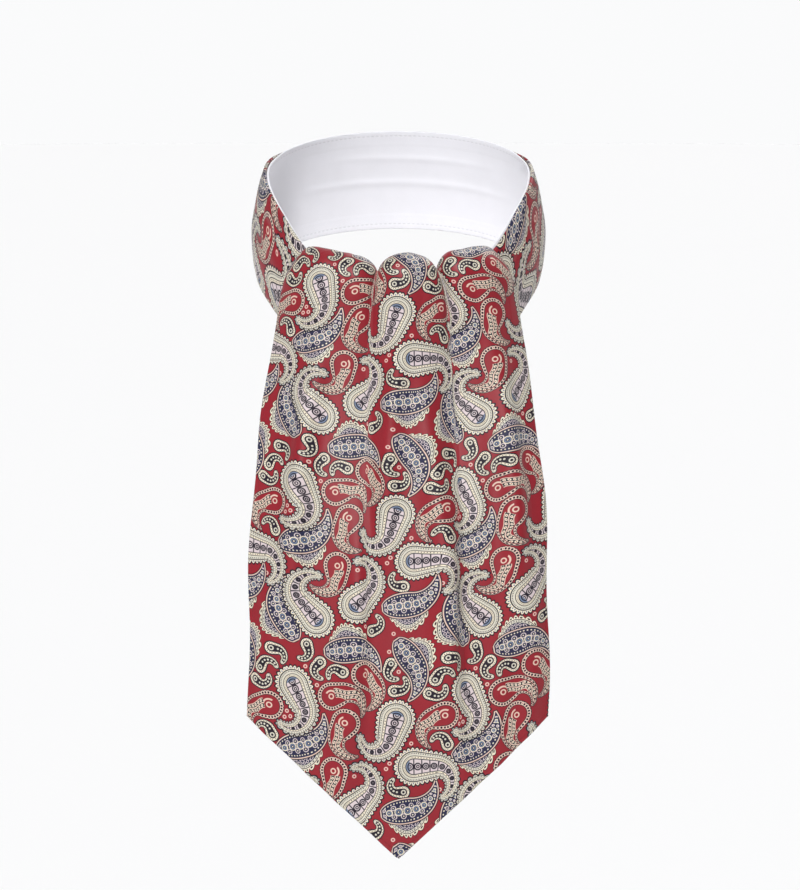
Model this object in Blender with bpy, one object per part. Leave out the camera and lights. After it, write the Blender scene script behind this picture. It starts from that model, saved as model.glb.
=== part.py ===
# A silk day cravat in its worn form: a neckband that goes once round an absent neck and
# crosses at the throat, a blade that rolls over the crossing in three puffs, and a second
# blade behind it.
# The wearer faces -Y and +Z is up. The origin is on the neck's axis, at half the height of
# the neckband's sides. Sizes are in millimetres and angles in degrees; each mesh is scaled
# to metres as it is made. An angle round the neck is 0 at the front and positive towards +X.
import bpy
import numpy as np

MM = 0.001

# Neck ring: the inner face of the neckband along its top edge, an ellipse seen from above
NECK_HALF_WIDTH = 69.0
NECK_HALF_DEPTH = 60.0

# Cloth layers of the neckband, measured outward from the ring's inner face
SEAM_GAP = 0.35
LINING_THICKNESS = 1.1
SILK_THICKNESS = 1.8
INNER_SILK = LINING_THICKNESS + SEAM_GAP
OUTER_SILK = INNER_SILK + SILK_THICKNESS + SEAM_GAP

# Where the stretches of the neckband begin and end
SEAM_ANGLE = 104.0
CROSSING_END_ANGLE = 38.0
OVER_LAYER_FROM_ANGLE = 44.0
OVER_LAYER_TO_ANGLE = 64.0
LINING_END_ANGLE = 36.0

# Height of the top edge round the neck: the band stands up at the back and dips at the throat
TOP_EDGE_COLUMNS = ("angle", "height")
TOP_EDGE = (
    (0.0, -27.0),
    (20.0, -23.5),
    (40.0, -14.5),
    (50.0, -4.0),
    (58.0, 4.5),
    (66.0, 11.5),
    (78.0, 19.5),
    (90.0, 26.0),
    (120.0, 35.0),
    (150.0, 41.0),
    (180.0, 43.0),
)

# Height of the band, and how far it stands away from the ring below its top edge
BAND_HEIGHT_COLUMNS = ("angle", "height")
BAND_HEIGHT = (
    (0.0, 48.0),
    (40.0, 51.0),
    (80.0, 54.0),
    (180.0, 54.0),
)
FLARE_COLUMNS = ("depth", "outward")
FLARE = (
    (0.0, 0.0),
    (8.0, 2.6),
    (18.0, 4.8),
    (28.0, 6.5),
    (38.0, 6.6),
    (47.0, 5.7),
    (54.0, 4.2),
)
FLARE_SHARE_AT_FRONT = 0.45
FLARE_SHARE_AT_BACK = 0.7

# Lengthwise pleats stitched down round the back of the neckband
PLEATS = 3
PLEAT_LIFT = 1.1
PLEAT_FADE_ANGLE = 16.0
PLEAT_STEPS = (0.0, 0.35, 0.7, 0.9)

# Soft slanting troughs where the side stretches are drawn down towards the throat
TROUGH_COLUMNS = ("start_angle", "start_depth", "end_angle", "end_depth", "hollow", "spread")
TROUGHS = (
    (96.0, 20.0, 46.0, 33.0, 0.9, 5.0),
    (88.0, 40.0, 50.0, 47.0, 0.7, 4.0),
)

# Over blade: sections from its hidden lower end behind the crossing, up over the roll and
# down to the tip. forward and up place the middle, wrap is how far the two edges lie behind
# it, edge_rise how much higher they lie, and puff how far the three puffs stand out.
BLADE_COLUMNS = ("forward", "up", "half_width", "wrap", "edge_rise", "puff")
BLADE_OVER = (
    (58.8, -66.0, 31.0, 8.4, 4.0, 0.0),
    (58.8, -44.0, 38.0, 12.8, 8.0, 1.0),
    (59.2, -29.0, 43.5, 17.5, 10.5, 3.5),
    (60.8, -23.0, 45.5, 18.6, 12.0, 7.0),
    (64.2, -20.5, 47.5, 19.6, 12.6, 10.5),
    (68.4, -22.0, 51.0, 20.2, 12.0, 11.0),
    (71.6, -28.0, 56.5, 21.6, 9.8, 9.6),
    (74.4, -40.0, 61.0, 23.4, 7.0, 7.0),
    (78.4, -57.0, 64.5, 23.6, 4.0, 4.0),
    (84.0, -78.0, 68.5, 21.6, 1.5, 1.8),
    (91.2, -102.0, 72.5, 18.8, 0.0, 0.4),
    (100.8, -132.0, 75.8, 16.4, 0.0, 0.0),
    (111.0, -166.0, 77.5, 14.6, 0.0, 0.0),
    (120.6, -205.0, 78.0, 13.2, 0.0, 0.0),
    (129.2, -250.0, 78.0, 12.2, 0.0, 0.0),
    (135.0, -292.0, 78.0, 11.6, 0.0, 0.0),
    (138.0, -319.0, 78.0, 11.2, 0.0, 0.0),
)
BLADE_OVER_TIP_HEIGHT = 72.0
BLADE_OVER_FROM_SECTION = 8
BLADE_OVER_COLUMNS = 32
RISE_ENDS_AT_SECTION = 2

# The three puffs side by side over the roll: their edges as shares of the blade's half-width,
# and the share of a section's puff that each one reaches
PUFF_COLUMNS = ("left", "right", "share")
PUFFS = (
    (-1.0, -0.25, 0.64),
    (-0.25, 0.5, 0.9),
    (0.36, 1.0, 0.74),
)
PUFF_ROUNDNESS = 0.52

# Under blade: it hangs from the lower edge of the left stretch, behind the over blade
BLADE_UNDER = (
    (64.6, -75.7, 24.0, 4.4, 2.0, 0.0),
    (69.6, -90.0, 36.0, 7.0, 1.0, 0.0),
    (79.5, -112.0, 50.0, 10.5, 0.0, 0.0),
    (92.0, -140.0, 62.0, 12.5, 0.0, 0.0),
    (104.6, -173.0, 68.5, 12.4, 0.0, 0.0),
    (115.4, -210.0, 70.5, 11.4, 0.0, 0.0),
    (124.4, -250.0, 71.0, 10.6, 0.0, 0.0),
    (130.0, -284.0, 71.0, 10.2, 0.0, 0.0),
)
BLADE_UNDER_TIP_HEIGHT = 66.0
BLADE_UNDER_FROM_SECTION = 2
BLADE_UNDER_COLUMNS = 14

# Mesh steps round the neckband and between two sections of a blade
BAND_STEP_ANGLE = 6.0
BAND_ROWS = 5
ROWS_PER_SECTION = 2

# Looks of the two cloths: colour, roughness and metallic value
SILK_RED = (0.36, 0.045, 0.055, 1.0)
SILK_ROUGHNESS = 0.45
LINING_WHITE = (0.80, 0.80, 0.83, 1.0)
LINING_ROUGHNESS = 0.7


def table(columns, rows):
    """The rows of a table as one array for each named column."""
    return dict(zip(columns, np.array(rows).T))


def curve_through(xs, ys):
    """A smooth curve through the points, as a function of x that holds its end values."""
    slopes = np.gradient(ys, xs)

    def at(x):
        x = np.clip(x, xs[0], xs[-1])
        i = np.clip(np.searchsorted(xs, x) - 1, 0, len(xs) - 2)
        span = xs[i + 1] - xs[i]
        t = (x - xs[i]) / span
        rise = ys[i + 1] - ys[i]
        start = slopes[i] * span
        end = slopes[i + 1] * span
        return ys[i] + t * (start + t * (3 * rise - 2 * start - end + t * (start + end - 2 * rise)))

    return at


def smooth_step(x, low, high):
    """0 below low, 1 above high and a smooth rise between them."""
    t = np.clip((x - low) / (high - low), 0.0, 1.0)
    return t * t * (3.0 - 2.0 * t)


def level_ends(values):
    """The table's curve, mirrored about the front and the back so that it runs level there."""
    angle = values["angle"]
    height = values["height"]
    angles = np.concatenate((-angle[1:2], angle, 360.0 - angle[-2:-1]))
    heights = np.concatenate((height[1:2], height, height[-2:-1]))
    return curve_through(angles, heights)


top_edge = level_ends(table(TOP_EDGE_COLUMNS, TOP_EDGE))
band_height = level_ends(table(BAND_HEIGHT_COLUMNS, BAND_HEIGHT))
flare_values = table(FLARE_COLUMNS, FLARE)
flare_at = curve_through(flare_values["depth"], flare_values["outward"])


def flare_share(angle):
    """Share of the flare at an angle round the neck: whole at the sides, less at front and back."""
    cosine = np.cos(np.radians(angle))
    least = np.where(cosine > 0.0, FLARE_SHARE_AT_FRONT, FLARE_SHARE_AT_BACK)
    return 1.0 - (1.0 - least) * cosine**2


def ring_grid(angles, shares, layer):
    """Points of a neckband layer: a row for each share of the band's height, a column for each angle."""
    angle, share = np.meshgrid(angles, shares)
    around = np.abs(angle)
    around = np.where(around > 180.0, 360.0 - around, around)
    depth = share * band_height(around)
    outward = layer + flare_at(depth) * flare_share(angle)
    x = (NECK_HALF_WIDTH + outward) * np.sin(np.radians(angle))
    y = -(NECK_HALF_DEPTH + outward) * np.cos(np.radians(angle))
    return np.stack((x, y, top_edge(around) - depth), axis=-1)


def cloth_material(name, colour, roughness):
    material = bpy.data.materials.new(name)
    material.use_nodes = True
    shader = material.node_tree.nodes["Principled BSDF"]
    shader.inputs["Base Color"].default_value = colour
    shader.inputs["Roughness"].default_value = roughness
    shader.inputs["Metallic"].default_value = 0.0
    material.diffuse_color = colour
    return material


def closed_wall(name, outer, inner, material):
    """An object with an outer and an inner face, each a grid of points, joined along all four edges."""
    rows, columns = outer.shape[:2]
    count = rows * columns
    points = np.concatenate((outer.reshape(-1, 3), inner.reshape(-1, 3))) * MM
    faces = []
    for r in range(rows - 1):
        for c in range(columns - 1):
            a = r * columns + c
            quad = (a, a + columns, a + columns + 1, a + 1)
            faces.append(quad)
            faces.append(tuple(count + i for i in reversed(quad)))
    border = list(range(columns))
    border += [r * columns + columns - 1 for r in range(1, rows)]
    border += [(rows - 1) * columns + c for c in range(columns - 2, -1, -1)]
    border += [r * columns for r in range(rows - 2, 0, -1)]
    for a, b in zip(border, border[1:] + border[:1]):
        faces.append((a, b, count + b, count + a))
    mesh = bpy.data.meshes.new(name)
    mesh.from_pydata(points.tolist(), [], faces)
    mesh.materials.append(material)
    mesh.shade_smooth()
    mesh.set_sharp_from_angle(angle=np.radians(50.0))
    piece = bpy.data.objects.new(name, mesh)
    bpy.context.scene.collection.objects.link(piece)
    return piece


def stretch_angles(start, end):
    """Angles of a stretch in even steps, drawn in at both ends by half a seam gap."""
    half_gap = np.degrees(SEAM_GAP / 2.0 / NECK_HALF_WIDTH)
    steps = round((end - start) / BAND_STEP_ANGLE)
    return np.linspace(start + half_gap, end - half_gap, steps + 1)


def neckband_lining(material):
    """The plain lining from one side of the throat round the back to the other."""
    angles = stretch_angles(LINING_END_ANGLE, 360.0 - LINING_END_ANGLE)
    shares = np.linspace(0.0, 1.0, BAND_ROWS + 1)
    outer = ring_grid(angles, shares, LINING_THICKNESS)
    return closed_wall("neckband_lining", outer, ring_grid(angles, shares, 0.0), material)


def neckband_back(material):
    """The silk round the back, with lengthwise pleats that fade out towards its two seams."""
    angles = stretch_angles(SEAM_ANGLE, 360.0 - SEAM_ANGLE)
    pleat_share = np.array([step for _ in range(PLEATS) for step in PLEAT_STEPS] + [0.0])
    starts = np.array([pleat for pleat in range(PLEATS) for _ in PLEAT_STEPS] + [PLEATS])
    shares = (starts + pleat_share) / PLEATS
    lift = PLEAT_LIFT * pleat_share * (starts < PLEATS)
    from_seam = np.minimum(angles - SEAM_ANGLE, 360.0 - SEAM_ANGLE - angles)
    fade = smooth_step(from_seam, 0.0, PLEAT_FADE_ANGLE)
    layer = INNER_SILK + SILK_THICKNESS + np.outer(lift, fade)
    outer = ring_grid(angles, shares, layer)
    return closed_wall("neckband_back", outer, ring_grid(angles, shares, INNER_SILK), material)


def trough_depth(angles, shares):
    """How far the outer face is hollowed by the slanting troughs of a side stretch."""
    angle, share = np.meshgrid(np.abs(angles), shares)
    depth = share * band_height(angle)
    hollow = np.zeros_like(angle)
    for row in TROUGHS:
        trough = dict(zip(TROUGH_COLUMNS, row))
        along = (trough["start_angle"] - angle) / (trough["start_angle"] - trough["end_angle"])
        middle = trough["start_depth"] + along * (trough["end_depth"] - trough["start_depth"])
        fade = smooth_step(along, -0.1, 0.3) * (1.0 - smooth_step(along, 0.7, 1.1))
        hollow += trough["hollow"] * fade * np.exp(-(((depth - middle) / trough["spread"]) ** 2))
    return hollow


def neckband_left(material):
    """The left stretch, from its seam down to the throat and on behind the right one."""
    angles = stretch_angles(-SEAM_ANGLE, CROSSING_END_ANGLE)
    shares = np.linspace(0.0, 1.0, BAND_ROWS + 1)
    side = smooth_step(-angles, OVER_LAYER_FROM_ANGLE, OVER_LAYER_TO_ANGLE)
    layer = INNER_SILK + SILK_THICKNESS - trough_depth(angles, shares) * side
    outer = ring_grid(angles, shares, layer)
    return closed_wall("neckband_left", outer, ring_grid(angles, shares, INNER_SILK), material)


def neckband_right(material):
    """The right stretch, which steps outward before the throat to cross over the left one."""
    angles = stretch_angles(-CROSSING_END_ANGLE, SEAM_ANGLE)
    shares = np.linspace(0.0, 1.0, BAND_ROWS + 1)
    side = smooth_step(angles, OVER_LAYER_FROM_ANGLE, OVER_LAYER_TO_ANGLE)
    inner_layer = OUTER_SILK + (INNER_SILK - OUTER_SILK) * side
    outer_layer = inner_layer + SILK_THICKNESS - trough_depth(angles, shares) * side
    outer = ring_grid(angles, shares, outer_layer)
    return closed_wall("neckband_right", outer, ring_grid(angles, shares, inner_layer), material)


def puff_height(across):
    """Height of the puffs across the blade, 0 in the two folds between them."""
    height = np.zeros_like(across)
    for row in PUFFS:
        puff = dict(zip(PUFF_COLUMNS, row))
        middle = (puff["left"] + puff["right"]) / 2.0
        t = (across - middle) / (puff["right"] - middle)
        inside = np.clip(1.0 - t * t, 0.0, 1.0)
        height = np.maximum(height, puff["share"] * inside**PUFF_ROUNDNESS)
    return height


def grid_normals(points):
    """Unit normals of a grid of points, on the side that faces out of closed_wall's outer face."""
    normals = np.cross(np.gradient(points, axis=0), np.gradient(points, axis=1))
    return normals / np.linalg.norm(normals, axis=2, keepdims=True)


def blade_lengths(rows, cut_section):
    """Lengths along the middle of a blade: one for each section, and one for each row of its mesh.

    At cut_section the rows part by a seam gap; 0 leaves the blade in one piece.
    """
    values = table(BLADE_COLUMNS, rows)
    steps = np.hypot(np.diff(values["forward"]), np.diff(values["up"]))
    at_sections = np.concatenate(([0.0], np.cumsum(steps)))
    section = np.linspace(0, len(rows) - 1, (len(rows) - 1) * ROWS_PER_SECTION + 1)
    at_rows = np.interp(section, np.arange(len(rows)), at_sections)
    if cut_section:
        cut_row = cut_section * ROWS_PER_SECTION
        at_rows = np.insert(at_rows, cut_row, at_rows[cut_row] - SEAM_GAP / 2.0)
        at_rows[cut_row + 1] += SEAM_GAP / 2.0
    return at_sections, at_rows


def blade_faces(rows, columns, tip_height, from_section, cut_section=0):
    """Outer and inner face of a blade. The last row is the pointed end: its edges are tip_height shorter."""
    at_sections, at_rows = blade_lengths(rows, cut_section)
    across = np.linspace(-1.0, 1.0, columns + 1)
    straight = at_sections[from_section]
    below = np.clip(at_rows - straight, 0.0, None) / (at_sections[-1] - straight)
    length = at_rows[:, None] - np.outer(below, np.abs(across)) * tip_height
    values = table(BLADE_COLUMNS, rows)
    at = {name: curve_through(at_sections, column)(length) for name, column in values.items()}
    half_turn = 2.0 * np.arctan(at["wrap"] / at["half_width"])
    turn = half_turn * across
    radius = at["half_width"] / np.sin(half_turn)
    x = radius * np.sin(turn)
    y = -at["forward"] + radius * (1.0 - np.cos(turn))
    z = at["up"] + at["edge_rise"] * across**4
    middle = np.stack((x, y, z), axis=-1)
    middle += grid_normals(middle) * (at["puff"] * puff_height(across))[:, :, None]
    half = grid_normals(middle) * SILK_THICKNESS / 2.0
    return middle + half, middle - half


def blade_over(material):
    """The over blade: its stretch that rises behind the crossing, and the roll with the fall in front."""
    outer, inner = blade_faces(
        BLADE_OVER,
        BLADE_OVER_COLUMNS,
        BLADE_OVER_TIP_HEIGHT,
        BLADE_OVER_FROM_SECTION,
        RISE_ENDS_AT_SECTION,
    )
    cut = RISE_ENDS_AT_SECTION * ROWS_PER_SECTION + 1
    closed_wall("blade_over_rise", outer[:cut], inner[:cut], material)
    closed_wall("blade_over", outer[cut:], inner[cut:], material)


def blade_under(material):
    outer, inner = blade_faces(
        BLADE_UNDER, BLADE_UNDER_COLUMNS, BLADE_UNDER_TIP_HEIGHT, BLADE_UNDER_FROM_SECTION
    )
    closed_wall("blade_under", outer, inner, material)


def main():
    for old in list(bpy.data.objects):
        bpy.data.objects.remove(old)
    silk = cloth_material("silk", SILK_RED, SILK_ROUGHNESS)
    lining = cloth_material("lining", LINING_WHITE, LINING_ROUGHNESS)
    neckband_lining(lining)
    neckband_back(silk)
    neckband_left(silk)
    neckband_right(silk)
    blade_over(silk)
    blade_under(silk)


main()
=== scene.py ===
import bpy
import numpy as np
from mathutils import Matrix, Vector


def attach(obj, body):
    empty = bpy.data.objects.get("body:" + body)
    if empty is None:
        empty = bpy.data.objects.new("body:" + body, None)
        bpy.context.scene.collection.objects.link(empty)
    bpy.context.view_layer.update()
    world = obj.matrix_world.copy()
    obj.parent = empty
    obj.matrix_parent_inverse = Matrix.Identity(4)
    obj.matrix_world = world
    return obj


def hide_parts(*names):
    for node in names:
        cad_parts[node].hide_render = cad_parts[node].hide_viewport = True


MM = 0.001

# Neck ring: the inner face of the neckband along its top edge, an ellipse seen from above
NECK_HALF_WIDTH = 69.0
NECK_HALF_DEPTH = 60.0

# Cloth layers of the neckband, measured outward from the ring's inner face
SEAM_GAP = 0.35
LINING_THICKNESS = 1.1
SILK_THICKNESS = 1.8
INNER_SILK = LINING_THICKNESS + SEAM_GAP
OUTER_SILK = INNER_SILK + SILK_THICKNESS + SEAM_GAP

# Where the stretches of the neckband begin and end
SEAM_ANGLE = 104.0
CROSSING_END_ANGLE = 38.0
OVER_LAYER_FROM_ANGLE = 44.0
OVER_LAYER_TO_ANGLE = 64.0
LINING_END_ANGLE = 36.0

# Height of the top edge round the neck: the band stands up at the back and dips at the throat
HEIGHT_COLUMNS = ("angle", "height")
TOP_EDGE = (
    (0, -27),
    (20, -23.5),
    (40, -14.5),
    (50, -4),
    (58, 4.5),
    (66, 11.5),
    (78, 19.5),
    (90, 26),
    (120, 35),
    (150, 41),
    (180, 43),
)

# Height of the band, and how far it stands away from the ring below its top edge
BAND_HEIGHT = (
    (0, 48),
    (40, 51),
    (80, 54),
    (180, 54),
)
FLARE_COLUMNS = ("depth", "outward")
FLARE = (
    (0, 0),
    (8, 2.6),
    (18, 4.8),
    (28, 6.5),
    (38, 6.6),
    (47, 5.7),
    (54, 4.2),
)
FLARE_SHARE_AT_FRONT = 0.45
FLARE_SHARE_AT_BACK = 0.7

# Lengthwise pleats stitched down round the back of the neckband: how many, how far each stands
# out, the share of it that turns back, and the cloth hidden under it
PLEATS = 3
PLEAT_LIFT = 1.7
PLEAT_TURN_SHARE = 0.06
PLEAT_CLOTH = 7.0

# How far the top of the silk lies below the top edge at the back, and that of the lining
# elsewhere, so that the other one shows there as a narrow rim
SILK_DROP = 1.0
LINING_DROP = 1.0

# Beside a seam, pleats open and tops change height over this angle
BACK_FADE_ANGLE = 16.0

# Sections of the two blades, from the hidden upper end down to the tip
BLADE_COLUMNS = ("forward", "up", "half_width", "wrap", "edge_rise", "puff")
BLADE_OVER = (
    (58.8, -66, 31, 8.4, 4, 0),
    (58.8, -44, 38, 12.8, 8, 1),
    (59.2, -29, 43.5, 16.6, 10.5, 3.5),
    (60.9, -24.4, 45.5, 17.6, 10.4, 7),
    (64.3, -22.1, 47.5, 18.8, 10.4, 10.3),
    (68.4, -23.8, 51, 19.8, 9.8, 10.7),
    (71.6, -29.5, 56.5, 21.6, 8.6, 9.6),
    (74.4, -40, 61, 23.4, 6.6, 7.6),
    (78.4, -57, 64.5, 23.6, 4, 5.6),
    (84, -78, 68.5, 21.6, 1.5, 4.4),
    (91.2, -102, 72.5, 18.8, 0, 3.6),
    (100.8, -132, 75.8, 16.4, 0, 3),
    (111, -166, 77.5, 14.6, 0, 2.5),
    (120.6, -205, 78, 13.2, 0, 2),
    (129.2, -250, 78, 12.2, 0, 1.4),
    (135, -292, 78, 11.6, 0, 0.8),
    (138, -319, 78, 11.2, 0, 0.5),
)
BLADE_OVER_TIP_HEIGHT = 72.0
BLADE_OVER_FROM_SECTION = 8
BLADE_UNDER = (
    (64.6, -75.7, 24, 4.4, 2, 0),
    (69.6, -90, 36, 7, 1, 0),
    (79.5, -112, 50, 10.5, 0, 0),
    (92, -140, 62, 12.5, 0, 0),
    (104.6, -173, 68.5, 12.4, 0, 0),
    (115.4, -210, 70.5, 11.4, 0, 0),
    (124.4, -250, 71, 10.6, 0, 0),
    (130, -284, 71, 10.2, 0, 0),
)
BLADE_UNDER_TIP_HEIGHT = 66.0
BLADE_UNDER_FROM_SECTION = 2

# The three puffs side by side over the roll: their edges and tops as shares of the blade's
# half-width, and the share of a section's puff that each one reaches
PUFF_COLUMNS = ("left", "top", "right", "share")
PUFFS = (
    (-1, -0.54, -0.232, 0.98),
    (-0.188, 0.1, 0.368, 1.12),
    (0.412, 0.6, 1, 1.04),
)

# A high puff stands up steeply from the folds beside it, and a low one is a soft wave
STEEP_PUFF = 9.0
STEEP_ROUNDNESS = 0.46
SOFT_ROUNDNESS = 1.8
PUFF_EASE = 0.02

# Cloth hidden in the two folds between the puffs, so that the print breaks across them: it is
# taken in over a small share of the half-width, and whole where a section's puff is full
TUCK_COLUMNS = ("across", "width")
TUCKS = (
    (-0.21, 9),
    (0.39, 12),
)
TUCK_SPREAD = 0.012
FULL_PUFF = 10.0

# How closely the columns of a blade's mesh gather beside those folds, where 0 is even
GATHERING = 0.8

# The edges of a blade swing gently out and in along it, out of step with each other
EDGE_WAVE = 0.8
EDGE_WAVE_LENGTH = 84.0
EDGE_WAVE_START = 60.0

# Creases of a cloth, in millimetres across it and along it: a soft trough between two places,
# or a ridge where the depth is below 0. Places on a blade are counted from its middle line and
# down from its upper end; on the neckband they are angles and depths below the top edge. A
# crease fades in and out over shares of its length.
CREASE_COLUMNS = ("from_across", "from_along", "to_across", "to_along", "bow", "depth", "spread")
CREASE_FADE_IN = (-0.05, 0.4)
CREASE_FADE_OUT = (0.6, 1.05)
OVER_CREASES = (
    (-33, 62, -55, 262, 7, -5.8, 6),
    (4, 66, -7, 214, 3, -3.8, 5.2),
    (11, 96, 21, 322, -6, -5.4, 6.6),
    (43, 60, 59, 270, -8, -6, 6.4),
    (29, 138, 37, 356, 5, -3.6, 5.6),
    (-22, 158, -33, 350, -5, -4.6, 6.2),
    (-62, 168, -67, 312, 3, -3.4, 6.5),
    (69, 176, 66, 314, -2, -3, 6),
    (-4, 232, 1, 384, 3, -2.8, 8.5),
    (48, 230, 50, 340, -3, -2, 5.5),
    (-45, 236, -43, 330, 2, -1.8, 5),
    (-31, 40, -37, 96, 1.5, 1.5, 4.2),
    (-23, 38, -28, 74, 1, 0.9, 2.6),
    (9, 38, 12, 88, -1.5, 1.3, 4),
    (15, 40, 19, 78, -1, 0.8, 2.6),
    (38, 40, 44, 98, 1.5, 1.3, 3.8),
)
UNDER_CREASES = (
    (-12, 6, -32, 130, 4, 3, 7),
    (10, 8, 28, 150, -4, 3.4, 8),
    (-2, 40, 5, 200, 4, 2.4, 8),
    (-48, 90, -54, 204, 4, 3.2, 7.5),
    (50, 84, 45, 214, -4, 3, 7.5),
    (-24, 120, -20, 220, -3, 2.6, 7),
)
LEFT_CREASES = (
    (-96, 20, -46, 33, 1, 0.9, 4.5),
    (-88, 40, -50, 47, 0.5, 0.7, 3.5),
    (-84, 9, -48, 20, -1, 0.5, 2.8),
    (-76, 28, -58, 31, 0.4, -0.4, 2.6),
    (-68, 5, -52, 9, 0.4, 0.4, 2),
)
RIGHT_CREASES = (
    (96, 21, 46, 32, 1.2, 0.9, 4.5),
    (88, 41, 50, 46.5, 0.5, 0.7, 3.5),
    (80, 11, 45, 19, -1.2, 0.5, 2.6),
    (70, 26, 52, 30, 0.4, -0.4, 2.4),
    (64, 6, 49, 8, 0.4, 0.4, 2),
)
BACK_CREASES = (
    (120, 24, 168, 27, 0.6, 0.35, 2.2),
    (190, 9, 232, 11, -0.5, 0.35, 2.4),
    (176, 44, 240, 43, 0.5, 0.3, 2.4),
)
LINING_CREASES = (
    (132, 15, 214, 14, 0.8, 0.5, 1.5),
    (118, 30, 236, 29, -1, 0.6, 1.8),
    (70, 18, 112, 20, 0.6, 0.4, 1.5),
    (250, 17, 292, 19, 0.6, 0.4, 1.5),
)

# Mesh steps: points round half a rim, round the neckband, down it, across and along a blade
RIM_STEPS = 6
BAND_STEP_ANGLE = 0.8
BAND_ROWS = 48
BLADE_COLUMNS_OVER = 150
BLADE_ROWS_OVER = 300
BLADE_COLUMNS_UNDER = 120
BLADE_ROWS_UNDER = 200

# Camera and light
VIEW_ELEVATION = 8.0
VIEW_DISTANCE = 2500.0
VIEW_TARGET = (0.81, 0.0, -122.4)
LENS = 187.1
SENSOR = 36.0
CLIP_END = 200000.0
LIGHT_COLUMNS = ("name", "direction", "spread", "strength")
LIGHTS = (
    ("key", (0.3, 0.9, -1.1), 14.0, 2.6),
    ("back", (-0.5, -0.9, -0.95), 30.0, 1.0),
)
SURROUND_COLOUR = (0.97, 0.97, 1.0, 1.0)
SURROUND_STRENGTH = 0.22

# Stage, in metres
FLOOR_LEVEL = -1.3
FLOOR_REACH = 60.0
FLOOR_CORNERS = ((-1, -1), (1, -1), (1, 1), (-1, 1))
FLOOR_COLOUR = (0.93, 0.93, 0.93, 1.0)
BACKDROP_RADIUS = 18.0
BACKDROP_TOP = 4.5
BACKDROP_STEPS = 96
BACKDROP_COLOUR = (0.960, 0.963, 0.969, 1.0)


def table(columns, rows):
    """The rows of a table as one array for each named column."""
    return dict(zip(columns, np.array(rows, dtype=float).T))


def curve_through(xs, ys):
    """A smooth curve through the points, as a function of x that holds its end values."""
    slopes = np.gradient(ys, xs)

    def at(x):
        x = np.clip(x, xs[0], xs[-1])
        i = np.clip(np.searchsorted(xs, x) - 1, 0, len(xs) - 2)
        span = xs[i + 1] - xs[i]
        t = (x - xs[i]) / span
        rise = ys[i + 1] - ys[i]
        start = slopes[i] * span
        end = slopes[i + 1] * span
        return ys[i] + t * (start + t * (3 * rise - 2 * start - end + t * (start + end - 2 * rise)))

    return at


def smooth_step(x, low, high):
    """0 below low, 1 above high and a smooth rise between them."""
    t = np.clip((x - low) / (high - low), 0.0, 1.0)
    return t * t * (3.0 - 2.0 * t)


def height_curve(rows):
    """A table's heights, mirrored about the front and the back so that they run level there."""
    values = table(HEIGHT_COLUMNS, rows)
    angle = values["angle"]
    height = values["height"]
    angles = np.concatenate((-angle[1:2], angle, 360.0 - angle[-2:-1]))
    heights = np.concatenate((height[1:2], height, height[-2:-1]))
    return curve_through(angles, heights)


top_edge = height_curve(TOP_EDGE)
band_height = height_curve(BAND_HEIGHT)
flare_values = table(FLARE_COLUMNS, FLARE)
flare_at = curve_through(flare_values["depth"], flare_values["outward"])


def flare_share(angle):
    """Share of the flare at an angle round the neck: whole at the sides, less at front and back."""
    cosine = np.cos(np.radians(angle))
    least = np.where(cosine > 0.0, FLARE_SHARE_AT_FRONT, FLARE_SHARE_AT_BACK)
    return 1.0 - (1.0 - least) * cosine**2


def from_front(angle):
    """The angle's distance from the front, 0 to 180."""
    around = np.abs(angle)
    return np.where(around > 180.0, 360.0 - around, around)


def back_share(angle):
    """0 outside the seams beside the back and 1 well between them."""
    return smooth_step(from_front(angle), SEAM_ANGLE, SEAM_ANGLE + BACK_FADE_ANGLE)


def ring_grid(angles, shares, layer, drop):
    """Points of a neckband layer: a row for each share of the band's height, a column for each angle."""
    angle, share = np.meshgrid(angles, shares)
    around = from_front(angle)
    depth = drop + share * (band_height(around) - drop)
    outward = layer + flare_at(depth) * flare_share(angle)
    x = (NECK_HALF_WIDTH + outward) * np.sin(np.radians(angle))
    y = -(NECK_HALF_DEPTH + outward) * np.cos(np.radians(angle))
    return np.stack((x, y, top_edge(around) - depth), axis=-1)


def grid_normals(points):
    """Unit normals of a grid of points, on the side that faces out of the cloth's outer face."""
    normals = np.cross(np.gradient(points, axis=0), np.gradient(points, axis=1))
    return normals / np.linalg.norm(normals, axis=2, keepdims=True)


def crease_depth(across, along, creases, scale_across=1.0):
    """How deep the creases lie at each place of a cloth: below 0 on their ridges."""
    total = np.zeros_like(across)
    for row in creases:
        crease = dict(zip(CREASE_COLUMNS, row))
        run_x = (crease["to_across"] - crease["from_across"]) * scale_across
        run_y = crease["to_along"] - crease["from_along"]
        length = np.hypot(run_x, run_y)
        off_x = (across - crease["from_across"]) * scale_across
        off_y = along - crease["from_along"]
        t = (off_x * run_x + off_y * run_y) / length**2
        side = (off_y * run_x - off_x * run_y) / length - crease["bow"] * 4.0 * t * (1.0 - t)
        ends = smooth_step(t, *CREASE_FADE_IN) * (1.0 - smooth_step(t, *CREASE_FADE_OUT))
        total += crease["depth"] * ends * np.exp(-((side / crease["spread"]) ** 2))
    return total


def unit(vectors):
    """The vectors at a length of 1; one of no length stays as it is."""
    return vectors / np.maximum(np.linalg.norm(vectors, axis=-1, keepdims=True), 1e-9)


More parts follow.
